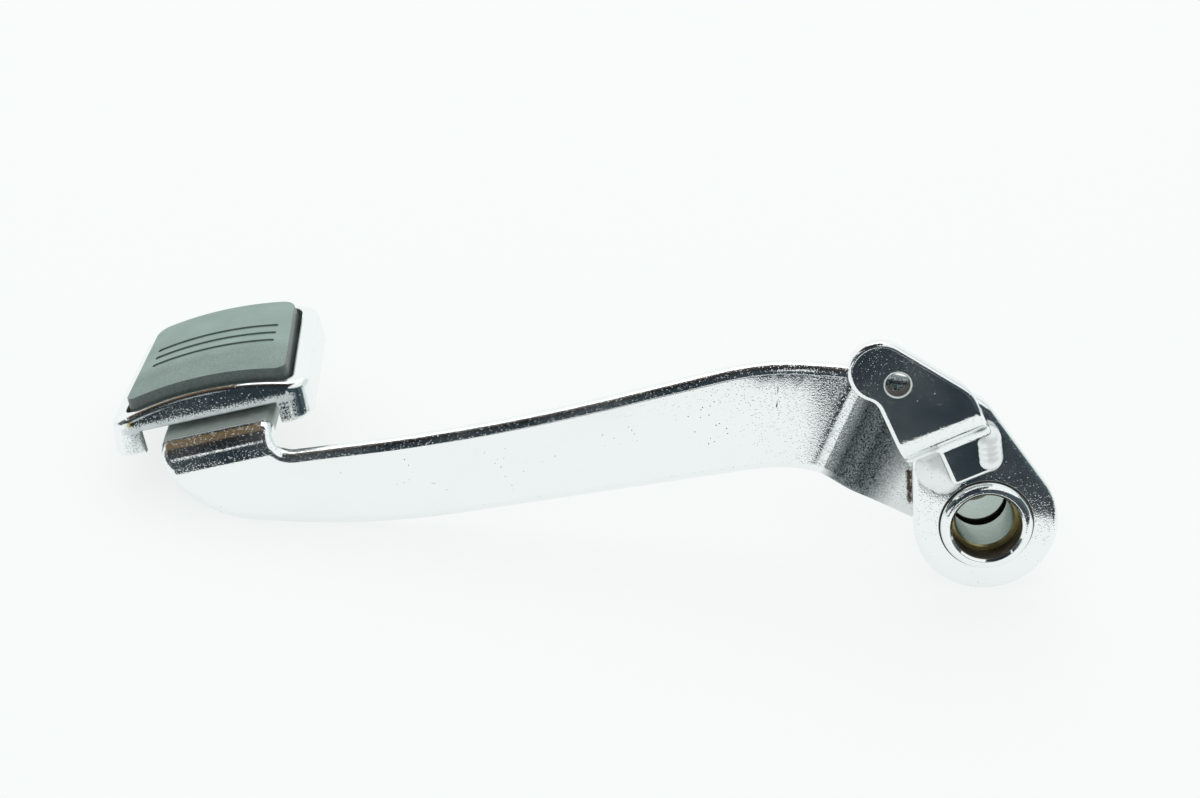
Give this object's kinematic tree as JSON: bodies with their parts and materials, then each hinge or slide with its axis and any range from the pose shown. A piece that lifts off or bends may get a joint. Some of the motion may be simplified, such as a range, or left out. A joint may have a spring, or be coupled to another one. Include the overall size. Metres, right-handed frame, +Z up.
{
  "type": "rear brake pedal",
  "caption": "Motorbike rear brake pedal: joggled chromed flat-bar arm on a bushed pivot tube, with a push-rod bracket and a rubber-faced foot pad.",
  "frame": {"origin": "on the pivot axis, midway along the pivot tube and its two bushes", "axes": "+Y along the pivot axis away from the push-rod side, the arm reaches along -X to the foot pad, +Z up as the pedal lies in use"},
  "size_m": [0.2695, 0.0934, 0.0755],
  "materials": {
    "arm_chrome": "bright chrome plate on steel with fine pitting and a few rust specks",
    "weld_chrome": "chrome plate over weld beads, slightly duller",
    "cup_chrome": "bright chrome plate, lightly pitted at the edges",
    "bush_bronze": "worn bronze with a grey, polished bore",
    "pad_rubber": "dusty grey-black moulded rubber, fine grain",
    "fixing_steel": "dull plated steel"
  },
  "bodies": {
    "root": {"pedal_arm": "arm_chrome", "pivot_plate": "arm_chrome", "pivot_tube": "arm_chrome", "pushrod_bracket": "arm_chrome", "left_weld": "weld_chrome", "right_weld": "weld_chrome", "tube_weld": "weld_chrome", "front_bush": "bush_bronze", "rear_bush": "bush_bronze", "pad_cup": "cup_chrome", "pad_rubber": "pad_rubber", "pad_studs": "fixing_steel", "pad_washers": "fixing_steel", "pad_nuts": "fixing_steel"}
  },
  "joints": []
}
